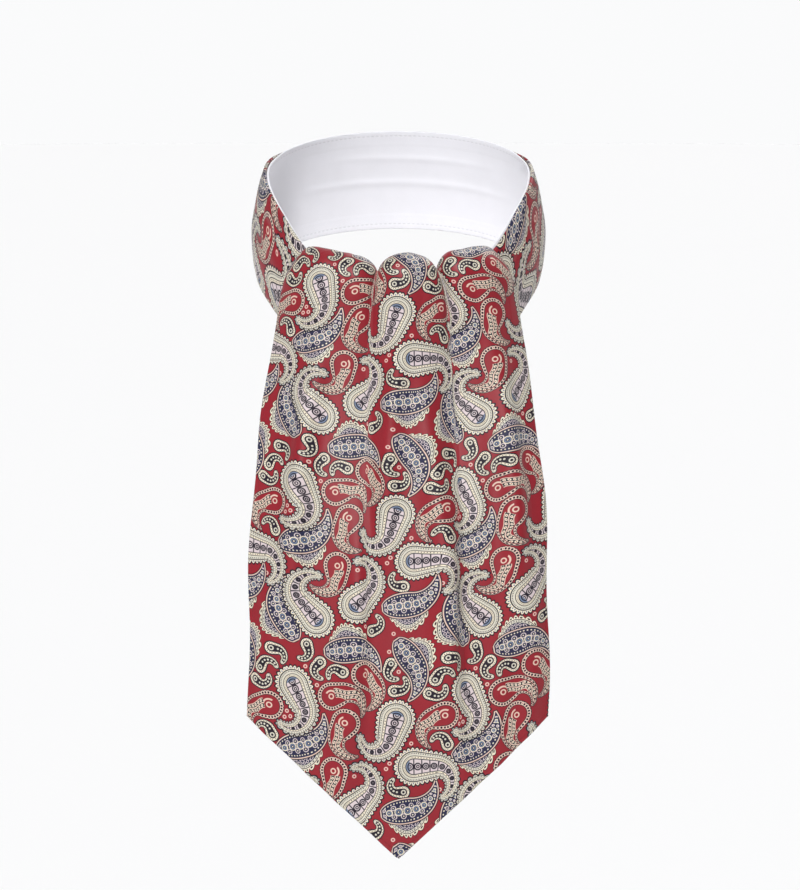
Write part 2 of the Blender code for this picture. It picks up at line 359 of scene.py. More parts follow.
def cloth_places(points, row_of_zero=0, even_rows=0):
    """Flat places of a grid of points, in millimetres: across from the middle column, along from
    row_of_zero. The first even_rows rows are as long in every column."""
    across_step = np.diff(points, axis=1)
    along_step = np.diff(points, axis=0)
    along_way = unit(np.gradient(points, axis=0))
    across_way = unit(np.gradient(points, axis=1))
    along_mid = (along_way[:, 1:] + along_way[:, :-1]) / 2.0
    across_mid = (across_way[1:] + across_way[:-1]) / 2.0
    across_step = across_step - along_mid * np.sum(across_step * along_mid, axis=-1, keepdims=True)
    along_step = along_step - across_mid * np.sum(along_step * across_mid, axis=-1, keepdims=True)
    across = np.zeros(points.shape[:2])
    along = np.zeros(points.shape[:2])
    across[:, 1:] = np.cumsum(np.linalg.norm(across_step, axis=-1), axis=1)
    lengths = np.linalg.norm(along_step, axis=-1)
    lengths[:even_rows] = lengths[:even_rows].mean(axis=1, keepdims=True)
    along[1:] = np.cumsum(lengths, axis=0)
    middle = points.shape[1] // 2
    across -= across[:, middle : middle + 1]
    along -= along[row_of_zero : row_of_zero + 1]
    return np.stack((across, along), axis=-1)


def add_object(name, data):
    """A new object in the scene for a mesh, a camera or a light."""
    thing = bpy.data.objects.new(name, data)
    bpy.context.scene.collection.objects.link(thing)
    return thing


def border_of(rows, columns):
    """Row and column of each border point, once round the grid."""
    top = [(0, c) for c in range(columns)]
    right = [(r, columns - 1) for r in range(1, rows)]
    bottom = [(rows - 1, c) for c in range(columns - 2, -1, -1)]
    left = [(r, 0) for r in range(rows - 2, 0, -1)]
    return np.array(top + right + bottom + left).T


def outward_of(grid):
    """Unit vectors at the border that lead out of the grid, within its surface."""
    rows, columns = grid.shape[:2]
    r, c = border_of(rows, columns)
    way = np.zeros((len(r), grid.shape[2]))
    for at, axis, first, last in ((r, 0, 0, rows - 1), (c, 1, 0, columns - 1)):
        for edge, inner in ((first, first + 1), (last, last - 1)):
            on_edge = at == edge
            inside_r = np.where(on_edge & (axis == 0), inner, r)
            inside_c = np.where(on_edge & (axis == 1), inner, c)
            way += np.where(on_edge[:, None], unit(grid[r, c] - grid[inside_r, inside_c]), 0.0)
    return unit(way)


def edge_places(places):
    """For each grid point, the distance to the cloth's nearest edge and how far round that lies."""
    border = places[tuple(border_of(*places.shape[:2]))]
    steps = np.linalg.norm(np.diff(border, axis=0), axis=1)
    round_edge = np.concatenate(([0.0], np.cumsum(steps)))
    result = np.zeros(places.shape[:2] + (3,))
    for row, row_places in enumerate(places):
        gaps = np.linalg.norm(row_places[:, None] - border[None], axis=2)
        nearest = gaps.argmin(axis=1)
        result[row, :, 0] = gaps.min(axis=1)
        result[row, :, 1] = round_edge[nearest]
    return result


def strip(near, far):
    """What the four corners of each quad between two rings take from them."""
    return np.stack((near, np.roll(near, -1, axis=0), np.roll(far, -1, axis=0), far), axis=1)


def cloth_shell(name, outer, inner, places, material):
    """A closed cloth: an outer and an inner grid of points with a half-round rim between them.

    places holds the flat cloth's coordinates of each grid point. They become the UV map that
    the print is drawn on; round the rim they run on past the border.
    """
    rows, columns = outer.shape[:2]
    r, c = border_of(rows, columns)
    around = len(r)
    middle = (outer[r, c] + inner[r, c]) / 2.0
    half = (outer[r, c] - inner[r, c]) / 2.0
    radius = np.linalg.norm(half, axis=1, keepdims=True)
    outward = outward_of((outer + inner) / 2.0) * radius
    place_way = outward_of(places) * radius
    points = [outer.reshape(-1, 3), inner.reshape(-1, 3)]
    rim_places = []
    for step in range(RIM_STEPS + 1):
        turn = np.pi * step / RIM_STEPS
        rim_places.append(places[r, c] + place_way * turn)
        if 0 < step < RIM_STEPS:
            points.append(middle + half * np.cos(turn) + outward * np.sin(turn))
    count = rows * columns
    index = np.arange(count).reshape(rows, columns)
    quads = np.stack((index[:-1, :-1], index[1:, :-1], index[1:, 1:], index[:-1, 1:]), axis=-1)
    quads = quads.reshape(-1, 4)
    flat = places.reshape(-1, 2)
    faces = [quads, count + quads[:, ::-1]]
    corners = [flat[quads], flat[quads[:, ::-1]]]
    from_edge = edge_places(places).reshape(-1, 3)
    edge_corners = [from_edge[quads], from_edge[quads[:, ::-1]]]
    border = index[r, c]
    rings = [border]
    rings += [2 * count + step * around + np.arange(around) for step in range(RIM_STEPS - 1)]
    rings.append(border + count)
    faces += [strip(near, far) for near, far in zip(rings, rings[1:])]
    corners += [strip(near, far) for near, far in zip(rim_places, rim_places[1:])]
    faces = np.concatenate(faces)
    corners = np.concatenate(corners)
    edge_corners.append(np.zeros((RIM_STEPS * around, 4, 3)))
    mesh = bpy.data.meshes.new(name)
    mesh.from_pydata((np.concatenate(points) * MM).tolist(), [], faces.tolist())
    mesh.materials.append(material)
    mesh.shade_smooth()
    uv = mesh.uv_layers.new(name="Cloth")
    uv.uv.foreach_set("vector", corners.reshape(-1).astype(np.float32))
    place_motifs(mesh, corners)
    write_corners(mesh, "edge", np.concatenate(edge_corners))
    return add_object(name, mesh)


# The print: a tile of ordinary paisley motifs, how many of each kind it holds, the room that each
# of them keeps, and how much closer than that a large one and a leaf may lie
TILE = np.array((92.0, 106.0))
MOTIF_COUNTS = {"large": 5, "leaf": 5, "bordered": 5, "small": 11, "dot": 14}
MOTIF_ROOM = {"large": 0.3, "leaf": 0.0, "bordered": 0.2, "small": 0.6, "dot": 0.6}
CLOSER_TO_LEAF = 1.5

# Nesting of the motifs: its steps, their size at first and how it grows over a share of the
# steps, how readily they move and turn and at most how far in a step, and how much they shake
NEST_SEED = 12
NEST_STEPS = 1500
NEST_FIRST_SIZE = 0.35
NEST_GROWTH = 0.75
NEST_GROWTH_SHARE = 0.7
NEST_RATE = 0.12
NEST_TURN_RATE = 0.35
NEST_LONGEST_MOVE = 1.5
NEST_LARGEST_TURN = 4.0
NEST_SHAKE = 0.25
NEST_TURN_SHAKE = 0.8

# Form of each kind of motif. Its spine runs straight from the middle of its head and then winds
# round an arc of radius bend to its whole length. Its middle is given from that of the head.
FORM_COLUMNS = ("head", "straight", "bend", "length", "tip", "middle_x", "middle_y")
FORMS = {
    "large": (10.2, 11.5, 8.6, 35.0, 2.5, 4.0, 8.5),
    "bordered": (7.4, 6.0, 8.0, 25.0, 1.0, 3.0, 6.5),
    "small": (3.3, 3.0, 3.6, 11.5, 1.4, 1.5, 2.5),
    "leaf": (6.0, 16.0, 14.0, 38.0, 0.7, 0.0, 15.0),
}

# A leaf's profile, its greatest half-width, and the width and length of the fringe beside it
LEAF_FULLNESS = 3.14
LEAF_BASE_POWER = 0.6
LEAF_TIP_POWER = 1.2
LEAF_WIDEST = 6.2
FRINGE_WIDEST = 14.5
FRINGE_LENGTH = 26.0

# Discs that cover a motif's spine and a fringe, how far from them a face is still the motif's,
# and the place that a face of no motif is given
SPINE_DISCS = 10
FRINGE_DISCS = 6
PRINT_MARGIN = 2.5
NOWHERE = 500.0

# Colours of the print and the lining as they look in daylight: red, green and blue of 255
PALETTE = {
    "red": (146, 32, 43),
    "cream": (232, 222, 200),
    "blush": (224, 196, 180),
    "sage": (214, 209, 194),
    "lilac": (216, 202, 204),
    "pink": (224, 190, 180),
    "navy": (36, 38, 68),
    "ink": (28, 18, 34),
    "blue": (116, 132, 158),
    "white": (244, 244, 249),
}
PRINT_SOFTNESS = 0.09

# Finish of each material, as the sockets of its shader take it
SILK_FINISH = {
    "Roughness": 0.42,
    "Sheen Weight": 0.07,
    "Sheen Roughness": 0.4,
    "Specular IOR Level": 0.35,
}
LINING_FINISH = {"Roughness": 0.7, "Sheen Weight": 0.15}
FLOOR_FINISH = {"Roughness": 0.9, "Base Color": FLOOR_COLOUR}
BACKDROP_FINISH = {
    "Roughness": 1.0,
    "Base Color": (0.0, 0.0, 0.0, 1.0),
    "Specular IOR Level": 0.0,
    "Emission Color": BACKDROP_COLOUR,
    "Emission Strength": 1.0,
}

# Weaves of the silk and the lining
TWILL_PITCH = 0.55
PLAIN_WEAVE_PITCH = 0.5

# Stitches along a cloth's edge, how far in they lie, and how wide the turned-in cloth is
STITCH_PITCH = 2.6
STITCH_RADIUS = 0.32
STITCH_NARROWNESS = 0.4
STITCH_SOFTNESS = 1.0 / 6.0
SILK_STITCH_INSET = 1.7
LINING_STITCH_INSET = 2.2
SILK_ALLOWANCE = 8.5
LINING_ALLOWANCE = 7.5
ALLOWANCE_SOFTNESS = 5.0 / 7.0


def form_of(kind):
    """The form of a kind of motif, by the names of its columns."""
    return dict(zip(FORM_COLUMNS, FORMS[kind]))


def spine_discs(kind):
    """Discs that cover a motif, from its head to its tip: each one's middle and radius."""
    form = form_of(kind)
    at = np.linspace(0.0, form["length"], SPINE_DISCS)
    wound = np.clip(at - form["straight"], 0.0, None) / form["bend"]
    x = form["bend"] * (1.0 - np.cos(wound)) - form["middle_x"]
    y = np.minimum(at, form["straight"]) + form["bend"] * np.sin(wound) - form["middle_y"]
    radius = form["head"] + (form["tip"] - form["head"]) * at / form["length"]
    if kind == "leaf":
        radius = np.maximum(leaf_profile(at / form["length"]) * LEAF_WIDEST, form["tip"])
    return np.stack((x, y, radius), axis=-1)


def leaf_profile(share):
    """Half-width of a leaf along its length: rounded at its base and drawn out to its tip."""
    return share**LEAF_BASE_POWER * (-share + 1.0) ** LEAF_TIP_POWER * LEAF_FULLNESS


def fringe_discs():
    """Discs that cover the fringe beside a leaf."""
    at = np.linspace(0.1, 0.9, FRINGE_DISCS)
    radius = 0.5 * FRINGE_WIDEST * np.sin(np.pi * at)
    y = at * FRINGE_LENGTH - form_of("leaf")["middle_y"]
    return np.stack((-1.1 * radius, y, radius), axis=-1)


MOTIF_DISCS = {
    "large": spine_discs("large"),
    "leaf": np.concatenate((spine_discs("leaf"), fringe_discs())),
    "bordered": spine_discs("bordered"),
    "small": spine_discs("small"),
    "dot": np.array([(0.0, 0.0, 1.0)]),
}


def across_tile(offset):
    """An offset to the nearest of the places that repeat from tile to tile."""
    return (offset + TILE / 2.0) % TILE - TILE / 2.0


def nested_motifs():
    """Where the motifs of each kind lie in the tile: each one's middle, turn and mirroring.

    They start small in random places, grow, and push and turn each other where their discs
    overlap, while a shaking that dies away helps them past each other.
    """
    rng = np.random.default_rng(NEST_SEED)
    kinds = [kind for kind, count in MOTIF_COUNTS.items() for _ in range(count)]
    place = rng.random((len(kinds), 2)) * TILE
    turn = rng.random(len(kinds)) * 360.0
    mirror = rng.choice((-1.0, 1.0), len(kinds))
    discs = np.concatenate([MOTIF_DISCS[kind] for kind in kinds])
    owner = np.repeat(np.arange(len(kinds)), [len(MOTIF_DISCS[kind]) for kind in kinds])
    room = discs[:, 2] + np.array([MOTIF_ROOM[kinds[i]] for i in owner])
    large, leaf = (np.array(kinds)[owner] == kind for kind in ("large", "leaf"))
    closer = CLOSER_TO_LEAF * (large[:, None] & leaf | leaf[:, None] & large)
    of_one = owner[:, None] == owner
    for step in range(NEST_STEPS):
        size = min(1.0, NEST_FIRST_SIZE + NEST_GROWTH * step / (NEST_STEPS * NEST_GROWTH_SHARE))
        shaking = (1.0 - step / NEST_STEPS) ** 2
        c, s = np.cos(np.radians(turn))[owner], np.sin(np.radians(turn))[owner]
        x, y = discs[:, 0] * mirror[owner], discs[:, 1]
        arm = np.stack((c * x - s * y, s * x + c * y), axis=-1)
        at = place[owner] + arm
        apart = across_tile(at[:, None] - at)
        distances = np.linalg.norm(apart, axis=2) + 1e-6
        overlap = (room * size)[:, None] + room * size - closer - distances
        overlap = np.clip(overlap, 0.0, None)
        overlap[of_one] = 0.0
        push = (apart / distances[:, :, None] * overlap[:, :, None]).sum(axis=1)
        move = np.zeros_like(place)
        np.add.at(move, owner, push)
        spin = np.zeros_like(turn)
        np.add.at(spin, owner, arm[:, 0] * push[:, 1] - arm[:, 1] * push[:, 0])
        move = np.clip(move * NEST_RATE, -NEST_LONGEST_MOVE, NEST_LONGEST_MOVE)
        spin = np.clip(spin * NEST_RATE * NEST_TURN_RATE, -NEST_LARGEST_TURN, NEST_LARGEST_TURN)
        place = (place + move + rng.normal(0.0, NEST_SHAKE, place.shape) * shaking) % TILE
        turn += spin + rng.normal(0.0, NEST_TURN_SHAKE, turn.shape) * shaking
    nested = {kind: [] for kind in kinds}
    for kind, *where in zip(kinds, np.round(place, 1), np.round(turn % 360.0, 1), mirror):
        nested[kind].append(where)
    return nested


motif_places = nested_motifs()


def place_motifs(mesh, corners):
    """Gives every face the nearest motif of each kind: its corners' places as that motif sees them."""
    centre = corners.mean(axis=1)
    for kind, discs in MOTIF_DISCS.items():
        nearest = np.full(len(centre), PRINT_MARGIN)
        local = np.full(corners.shape[:2] + (3,), NOWHERE)
        for middle, turn, mirror in motif_places[kind]:
            offset = across_tile(centre - middle)
            c, s = np.cos(np.radians(turn)), np.sin(np.radians(turn))
            turned = np.array(((c * mirror, s * mirror), (-s, c)))
            seen = offset @ turned.T
            gap = np.linalg.norm(seen[:, None] - discs[None, :, :2], axis=2) - discs[:, 2]
            gap = gap.min(axis=1)
            chosen = gap < nearest
            nearest[chosen] = gap[chosen]
            at_corners = corners[chosen] - centre[chosen, None] + offset[chosen, None]
            local[chosen, :, :2] = at_corners @ turned.T
            local[chosen, :, 2] = 0.0
        write_corners(mesh, kind, local)


def write_corners(mesh, name, vectors):
    """Keeps a vector for each corner of the mesh's faces under a name that a material can read."""
    attribute = mesh.attributes.new(name, "FLOAT_VECTOR", "CORNER")
    attribute.data.foreach_set("vector", vectors.reshape(-1).astype(np.float32))


class Number:
    """A number in a material: arithmetic on it adds Math nodes to the material's tree."""

    def __init__(self, socket):
        self.socket = socket
        self.tree = socket.id_data

    def math(self, operation, *others, clamp=False):
        node = self.tree.nodes.new("ShaderNodeMath")
        node.operation = operation
        node.use_clamp = clamp
        for socket, value in zip(node.inputs, (self, *others)):
            if isinstance(value, Number):
                self.tree.links.new(value.socket, socket)
            else:
                socket.default_value = value
        return Number(node.outputs[0])

    def __add__(self, other):
        return self.math("ADD", other)

    def __sub__(self, other):
        return self.math("SUBTRACT", other)

    def __mul__(self, other):
        return self.math("MULTIPLY", other)

    def __truediv__(self, other):
        return self.math("DIVIDE", other)

    def __pow__(self, other):
        return self.math("POWER", other)

    def __neg__(self):
        return self.math("MULTIPLY", -1.0)

    def size(self):
        return self.math("ABSOLUTE")

    def at_least(self, other):
        return self.math("MAXIMUM", other)

    def at_most(self, other):
        return self.math("MINIMUM", other)

    def above(self, other):
        return self.math("GREATER_THAN", other)

    def centred(self, pitch):
        """Distance from the nearest whole multiple of the pitch, with its sign."""
        return self.math("WRAP", pitch / 2.0, -pitch / 2.0)

    def inside(self, softness=PRINT_SOFTNESS):
        """1 where a distance is below 0 and 0 where it is above, with a soft edge."""
        return self.math("MULTIPLY_ADD", -0.5 / softness, 0.5, clamp=True)


def distance(x, y):
    """Distance of a place from the origin."""
    return (x * x + y * y).math("SQRT")


def turn_of(y, x):
    """Angle of a place round the origin, from the x axis."""
    return y.math("ARCTAN2", x)


def choose(factor, low, high):
    """low where factor is 0 and high where it is 1."""
    return low + factor * (high - low)


def linear(colour):
    """A colour of the palette as the shader takes it."""
    share = np.array(PALETTE[colour]) / 255.0
    low = share / 12.92
    high = ((share + 0.055) / 1.055) ** 2.4
    return (*np.where(share <= 0.04045, low, high), 1.0)


class Print:
    """The colour of a cloth: a plain ground, and what is painted on it one over another."""

    def __init__(self, tree, ground):
        self.tree = tree
        self.colour = tree.nodes.new("ShaderNodeRGB").outputs["Color"]
        self.colour.default_value = linear(ground)

    def paint(self, mask, colour):
        """Lays a colour of the palette over what is there, where the mask is 1."""
        mix = self.tree.nodes.new("ShaderNodeMix")
        mix.data_type = "RGBA"
        self.tree.links.new(mask.socket, mix.inputs["Factor"])
        self.tree.links.new(self.colour, mix.inputs["A"])
        mix.inputs["B"].default_value = linear(colour)
        self.colour = mix.outputs["Result"]

    def fill(self, gap, colour, within=None):
        """Paints where a distance is below 0, and there only where a second mask is 1."""
        mask = gap.inside()
        self.paint(mask if within is None else mask * within, colour)

    def dye_and_shade(self, shader, shade):
        """Gives the shader the colour, made lighter and darker by a shade that holds uneven dye and
        painted shade.
        """
        dye_and_shade = self.tree.nodes.new("ShaderNodeHueSaturation")
        self.tree.links.new(shade.socket, dye_and_shade.inputs["Value"])
        self.tree.links.new(self.colour, dye_and_shade.inputs["Color"])
        self.tree.links.new(dye_and_shade.outputs["Color"], shader.inputs["Base Color"])


def x_and_y(tree, vector):
    """The first two numbers of a vector."""
    split = tree.nodes.new("ShaderNodeSeparateXYZ")
    tree.links.new(vector, split.inputs["Vector"])
    return Number(split.outputs["X"]), Number(split.outputs["Y"])


def corner_numbers(tree, name):
    """The first two numbers of a vector that the mesh's corners keep under a name."""
    attribute = tree.nodes.new("ShaderNodeAttribute")
    attribute.attribute_name = name
    return x_and_y(tree, attribute.outputs["Vector"])


class Motif:
    """A motif as its material sees it, unwound to a straight spine.

    x is the place across the spine and y along it, from_head the distance from the head's
    middle, edge the distance along the motif's own edge, and width its half-width there.
    """

    def __init__(self, cloth, kind):
        self.cloth = cloth
        form = form_of(kind)
        head, length, tip = form["head"], form["length"], form["tip"]
        straight, bend = form["straight"], form["bend"]
        x, y = corner_numbers(cloth.tree, kind)
        x = x + form["middle_x"]
        y = y + form["middle_y"]
        self.from_head = distance(x, y)
        to_right = -x + bend
        beyond = y - straight
        wound = turn_of(beyond, to_right)
        on_arc = beyond.above(0.0)
        self.x = choose(on_arc, x, -distance(to_right, beyond) + bend)
        self.y = choose(on_arc, y, wound * bend + straight)
        slope = (tip - head) / length
        self.width = self.y.at_least(0.0).at_most(length) * slope + head
        inner_side = self.x.above(0.0) * 2.0 - 1.0
        spare = wound * on_arc * inner_side * self.width
        side = (1.0 - slope**2) ** 0.5
        across = self.x.size()
        along = self.y * side + across * slope
        out = across * side - self.y * slope
        on_body = along.above(0.0)
        outside = choose(on_body, self.from_head, out) - head
        self.edge = choose(on_body, turn_of(along, out) * head, along - spare)
        on_tip = along.above(side * length)
        past_tip = self.y - length
        self.outside = choose(on_tip, outside, distance(self.x, past_tip) - tip)
        self.edge = choose(on_tip, self.edge, turn_of(self.x, past_tip) * tip)
        self.scale = self.width / head
        self.inner = self.outside / (self.scale * 0.75 + 0.25)

    def petals(self, depth, pitch, swell, colour):
        """Fills the motif to a scalloped line, a depth in from its edge."""
        petal = self.edge.centred(pitch)
        self.cloth.fill(self.outside + petal * petal * swell + depth, colour)

    def band(self, depth, colour):
        """Fills the motif to a line that follows its edge, a depth in from it."""
        self.cloth.fill(self.inner + depth, colour)

    def beads(self, depth, pitch, radius, colour):
        """Paints a row of beads that follows the edge, a depth in from it."""
        bead = distance(self.edge.centred(pitch), self.inner + depth)
        self.cloth.fill(bead - radius, colour)

    def core(self, depth):
        """1 in the middle of the motif, inside a depth from its edge."""
        return (self.inner + depth).inside()


# The print's own design, in millimetres: a depth is counted in from a motif's edge, a pitch is
# that of petals, beads or rings, and what is painted later lies over what was painted before
def paint_large(cloth):
    """A large drop: petals, rows of beads, and a core of rings in cells with a blue cap."""
    motif = Motif(cloth, "large")
    motif.petals(-0.45, 2.5, 0.75, "ink")
    motif.petals(0.35, 2.5, 0.95, "cream")
    motif.beads(1.5, 2.5, 0.42, "blue")
    motif.band(2.15, "ink")
    motif.band(2.7, "sage")
    motif.beads(3.3, 1.25, 0.3, "ink")
    motif.band(4.45, "ink")
    motif.band(4.8, "cream")
    motif.beads(5.35, 1.5, 0.28, "ink")
    motif.band(5.9, "ink")
    motif.band(6.4, "lilac")
    core = motif.core(6.4)
    cell = (motif.y + 1.9).centred(4.2)
    ring = distance(motif.x, cell)
    radius = motif.scale * 1.75
    cloth.fill(-cell.size() + 1.8, "ink", core)
    cloth.fill((ring - radius).size() - 0.36, "ink", core)
    cloth.fill((ring - radius * 0.4).size() - 0.28, "ink", core)
    cap = core * (motif.y + 2.0).inside()
    cloth.paint(cap, "blue")
    cloth.fill((motif.from_head - 2.9).size() - 0.3, "ink", cap)


def paint_bordered(cloth):
    """A drop with a beaded border: a scroll in its head, and a winding stem with buds."""
    motif = Motif(cloth, "bordered")
    motif.band(-0.1, "ink")
    motif.petals(0.2, 1.75, 0.35, "blush")
    motif.beads(1.2, 1.75, 0.6, "ink")
    motif.band(2.0, "ink")
    motif.band(2.35, "red")
    core = motif.core(2.7)
    on_scroll = (motif.x - motif.y * 0.6 + 0.8).inside() * core
    cloth.fill((motif.from_head - 2.9).size() - 0.42, "blush", on_scroll)
    cloth.fill((motif.from_head - 1.2).size() - 0.32, "blush")
    stem = motif.x + (motif.y * 0.55).math("SINE") * 1.1
    on_stem = core * (-motif.y + 2.4).inside()
    for half_width, colour in ((2.5, "blush"), (2.1, "ink"), (0.3, "blush")):
        cloth.fill(stem.size() - half_width, colour, on_stem)
    bud = distance(stem.size() - 1.25, motif.y.centred(1.9))
    cloth.fill(bud - 0.68, "cream", on_stem)
    cloth.fill(bud - 0.26, "red", on_stem)


def paint_small(cloth):
    """A small drop with a ring in its head and seeds along its spine."""
    motif = Motif(cloth, "small")
    motif.band(-0.35, "ink")
    motif.petals(0.25, 1.5, 0.3, "cream")
    motif.beads(0.85, 1.5, 0.26, "ink")
    motif.band(1.35, "ink")
    cloth.fill((motif.from_head - 0.95).size() - 0.3, "sage")
    seed = distance(motif.x, (motif.y + 0.2).centred(1.7))
    cloth.fill(seed - 0.5, "sage", (-motif.y + 2.2).inside() * motif.core(0.9))


def paint_leaf(cloth):
    """A leaf with a long curved tip, filled with rings and dots, and a toothed fringe on one side."""
    motif = Motif(cloth, "leaf")
    x, y = motif.x, motif.y
    arch = (y * (np.pi / FRINGE_LENGTH)).at_least(0.0).at_most(np.pi).math("SINE")
    fan = -x - arch * FRINGE_WIDEST
    on_side = x.inside() * (y - FRINGE_LENGTH).inside() * (-y).inside()
    tooth = y.centred(2.3)
    edge = fan + tooth * tooth * 1.3
    bead = distance(y.centred(1.15), fan + 3.5)
    for gap, colour in (
        (edge, "ink"),
        (edge + 0.4, "cream"),
        (distance(tooth, fan + 1.6) - 0.45, "ink"),
        (fan + 2.4, "ink"),
        (fan + 2.8, "sage"),
        (bead - 0.3, "ink"),
        (fan + 4.2, "navy"),
    ):
        cloth.fill(gap, colour, on_side)
    lace = distance(y.centred(1.9), (fan + 5.4).centred(1.9))
    cloth.fill((lace - 0.62).size() - 0.16, "lilac", on_side * (fan + 4.5).inside())
    length = form_of("leaf")["length"]
    profile = leaf_profile((y / length).at_least(0.0).at_most(1.0)) * LEAF_WIDEST
    lens = (x.size() - profile - 0.5).at_least(-y + 0.3).at_least(y - length + 0.5)
    cloth.fill(lens - 0.5, "ink")
    cloth.fill(lens, "blush")
    cloth.fill(lens + 0.55, "navy")
    cloth.fill(distance(y.centred(1.5), lens + 1.7) - 0.34, "cream")
    core = (lens + 0.9).inside()
    scale = profile / LEAF_WIDEST
    ring = distance(x, y.centred(4.6))
    seed = distance(x.size() - scale * 2.5, (y + 2.3).centred(4.6))
    for gap, colour in (
        ((ring - scale * 1.9).size() - 0.24, "cream"),
        ((ring - scale * 1.15).size() - 0.22, "blue"),
        (ring - scale * 0.35, "cream"),
        ((seed - scale * 1.25).size() - 0.19, "lilac"),
        (seed - scale * 0.36, "cream"),
    ):
        cloth.fill(gap, colour, core)


def paint_dot(cloth):
    """A small ring."""
    x, y = corner_numbers(cloth.tree, "dot")
    r = distance(x, y)
    cloth.fill(r - 1.05, "pink")
    cloth.fill(r - 0.5, "red")


def new_material(name, finish):
    """A material with its tree and its shader, a Principled BSDF with a finish."""
    material = bpy.data.materials.new(name)
    material.use_nodes = True
    tree = material.node_tree
    shader = tree.nodes["Principled BSDF"]
    for socket, value in finish.items():
        shader.inputs[socket].default_value = value
    return material, tree, shader


def cloth_map(tree):
    """The flat cloth's coordinates in a material, in millimetres."""
    uv = tree.nodes.new("ShaderNodeUVMap")
    uv.uv_map = "Cloth"
    return uv.outputs["UV"], *x_and_y(tree, uv.outputs["UV"])


def noise(tree, vector, scale):
    """Soft random unevenness, with scale patches to the millimetre."""
    node = tree.nodes.new("ShaderNodeTexNoise")
    node.inputs["Scale"].default_value = scale
    node.inputs["Detail"].default_value = 2.0
    tree.links.new(vector, node.inputs["Vector"])
    return Number(node.outputs["Fac"])


def bump(tree, shader, height, strength, depth):
    """Raises the surface by a height of depth metres for each 1."""
    node = tree.nodes.new("ShaderNodeBump")
    node.inputs["Strength"].default_value = strength
    node.inputs["Distance"].default_value = depth
    tree.links.new(height.socket, node.inputs["Height"])
    tree.links.new(node.outputs["Normal"], shader.inputs["Normal"])


def edge_work(tree, stitch_inset, allowance):
    """Stitches beside a cloth's edge, 1 in each, and the turned-in cloth below, 1 where it lies."""
    gap, run = corner_numbers(tree, "edge")
    along = run.centred(STITCH_PITCH) * STITCH_NARROWNESS
    stitch = distance(along, gap - stitch_inset) - STITCH_RADIUS
    return stitch.inside(STITCH_SOFTNESS), (gap - allowance).inside(ALLOWANCE_SOFTNESS)


def printed_silk():
    """Printed silk twill: the paisley print, faint unevenness of dye, painted shade at the stitches, and
    a fine diagonal weave.
    """
    material, tree, shader = new_material("printed_silk", SILK_FINISH)
    uv, across, along = cloth_map(tree)
    cloth = Print(tree, "red")
    for paint in (paint_dot, paint_small, paint_leaf, paint_bordered, paint_large):
        paint(cloth)
    stitch, turned_in = edge_work(tree, SILK_STITCH_INSET, SILK_ALLOWANCE)
    twill = ((across + along) * (2.0 * np.pi / TWILL_PITCH)).math("SINE")
    shade = noise(tree, uv, 0.05) * 0.18 + noise(tree, uv, 1.1) * 0.2 + twill * 0.04 + 0.81
    # Painted shade: the colour is darker at each stitch, where its groove lies
    cloth.dye_and_shade(shader, shade - stitch * 0.2)
    weave = twill * 0.5 + noise(tree, uv, 0.9) * 1.2
    bump(tree, shader, weave + turned_in * 6.0 - stitch * 6.0, 0.35, 0.00006)
    return material


def plain_lining():
    """Fine plain-weave lining, matt and white, with painted shade at its stitches."""
    material, tree, shader = new_material("plain_lining", LINING_FINISH)
    uv, across, along = cloth_map(tree)
    stitch, turned_in = edge_work(tree, LINING_STITCH_INSET, LINING_ALLOWANCE)
    # The white is lighter and darker with uneven dye, and darker at each stitch as painted shade of its
    # groove
    Print(tree, "white").dye_and_shade(shader, noise(tree, uv, 0.08) * 0.06 + 0.97 - stitch * 0.12)
    warp = (across * (2.0 * np.pi / PLAIN_WEAVE_PITCH)).math("SINE")
    weft = (along * (2.0 * np.pi / PLAIN_WEAVE_PITCH)).math("SINE")
    weave = warp * weft * 0.5 + noise(tree, uv, 0.5)
    bump(tree, shader, weave + turned_in * 4.0 - stitch * 4.0, 0.3, 0.00008)
    return material


def drawn_in(low, high, length, inset):
    """The two ends of a stretch as shares of its length, drawn in by the radius of a rim."""
    share = inset / length
    return low + (high - low) * share, high - (high - low) * share


def band_piece(
    name, start, end, thickness, material, layer, drop, creases, bends_inside=False, pleats=False
):
    """A stretch of the neckband between two angles.

    At an angle, layer gives the distance of its inner face from the neck ring, and drop how far
    its top lies below the band's top edge. Creases shape the inner face too if it bends inside.
    """
    inset = thickness / 2.0
    reach = np.radians(abs(end - start)) * NECK_HALF_WIDTH
    gap = np.degrees(SEAM_GAP / 2.0 / NECK_HALF_WIDTH)
    first, last = drawn_in(start + gap, end - gap, reach, inset)
    angles = np.linspace(first, last, round(abs(end - start) / BAND_STEP_ANGLE) + 1)
    shares = np.linspace(*drawn_in(0.0, 1.0, band_height(180.0), inset), BAND_ROWS + 1)
    angle, share = np.meshgrid(angles, shares)
    around = from_front(angle)
    down = (share - shares[0]) / (shares[-1] - shares[0])
    lift = pleat_lift(angle, down) if pleats else 0.0
    depth = share * band_height(around)
    hollow = crease_depth(angle, depth, creases, np.radians(NECK_HALF_WIDTH))
    inner_layer = layer(angle)
    inner = ring_grid(angles, shares, inner_layer - (hollow if bends_inside else 0.0), drop(angle))
    outer = ring_grid(angles, shares, inner_layer + thickness + lift - hollow, drop(angle))
    places = cloth_places(outer)
    if pleats:
        # Half a row of slack keeps rounding from splitting a row between two pleats
        passed = np.minimum(np.floor(down * PLEATS + 0.5 / BAND_ROWS), PLEATS - 1)
        places[:, :, 1] += PLEAT_CLOTH * passed * back_share(angle)
    return cloth_shell(name, outer, inner, places, material)


